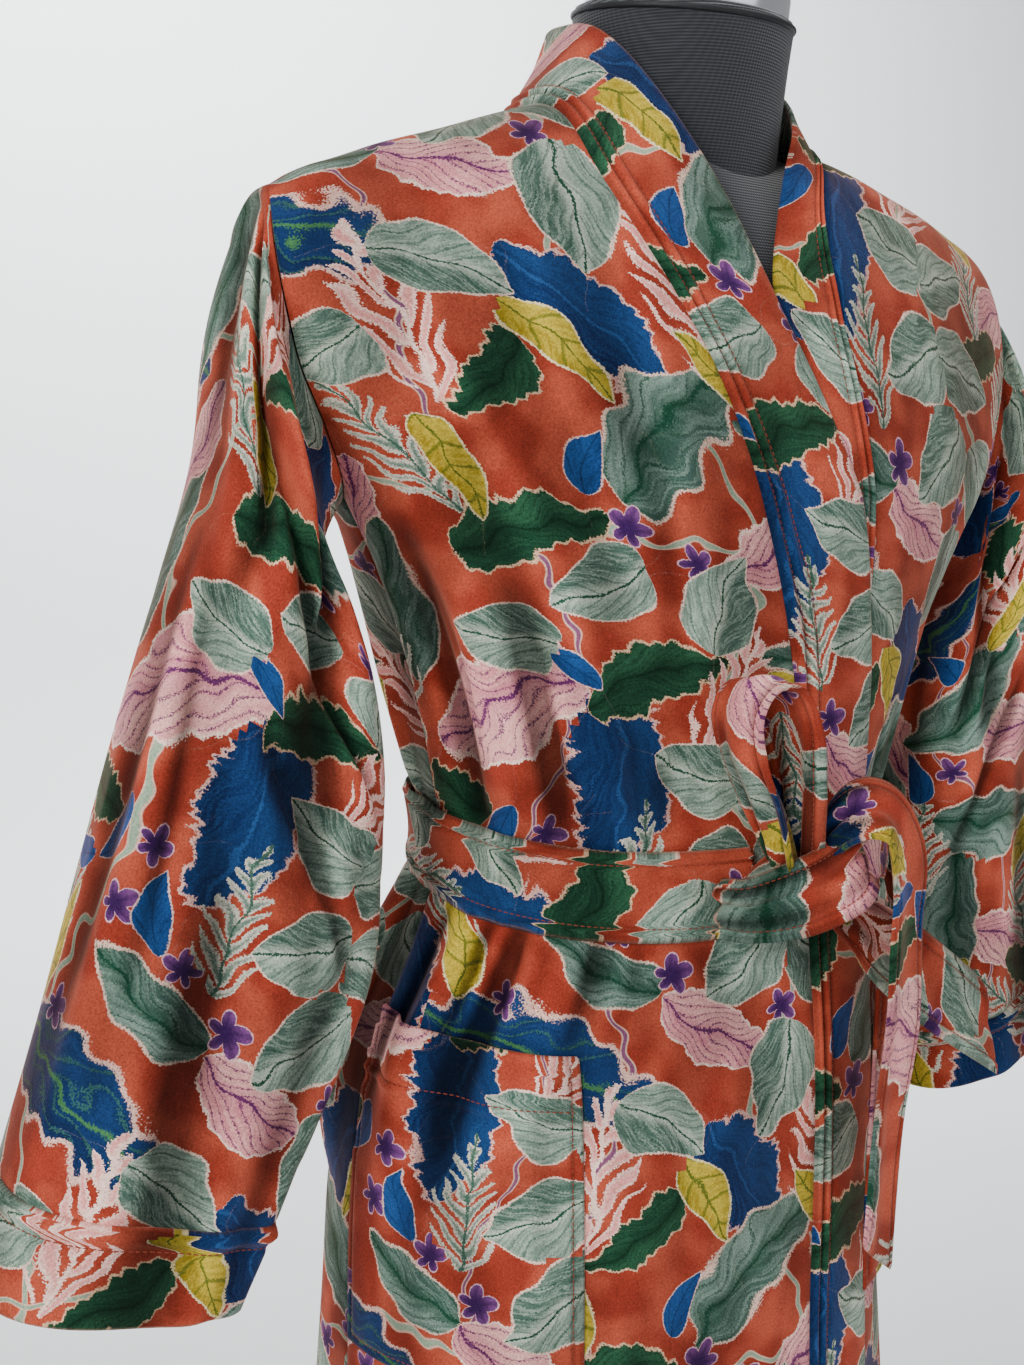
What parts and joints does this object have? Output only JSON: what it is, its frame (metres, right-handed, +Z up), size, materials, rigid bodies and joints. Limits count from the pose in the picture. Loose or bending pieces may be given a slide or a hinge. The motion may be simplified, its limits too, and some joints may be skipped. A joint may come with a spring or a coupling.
{
  "type": "velvet kimono robe on a dress form",
  "caption": "Wrap-front velvet kimono robe with a folded neckband, wide sleeves, patch pockets and a knotted belt, on a limbless dress form with a round stand.",
  "frame": {"origin": "centre of the stand's base on the floor", "axes": "+Z up, -Y towards the front of the robe, -X towards the wearer's right"},
  "size_m": [0.7378, 0.38, 1.5425],
  "materials": {
    "robe_velvet": "cotton velvet, printed",
    "form_cloth": "fine ribbed jersey",
    "polished_metal": "polished",
    "base_paint": "satin"
  },
  "bodies": {
    "root": {"back": "robe_velvet", "front_right": "robe_velvet", "front_left": "robe_velvet", "neckband": "robe_velvet", "sleeve_right": "robe_velvet", "cuff_right": "robe_velvet", "pocket_right": "robe_velvet", "sleeve_left": "robe_velvet", "cuff_left": "robe_velvet", "pocket_left": "robe_velvet", "belt_waist": "robe_velvet", "belt_knot": "robe_velvet", "belt_loop": "robe_velvet", "belt_tail_long": "robe_velvet", "belt_tail_short": "robe_velvet", "form_torso": "form_cloth", "form_neck": "form_cloth", "neck_cap": "polished_metal", "pole": "polished_metal", "base": "base_paint"}
  },
  "joints": []
}
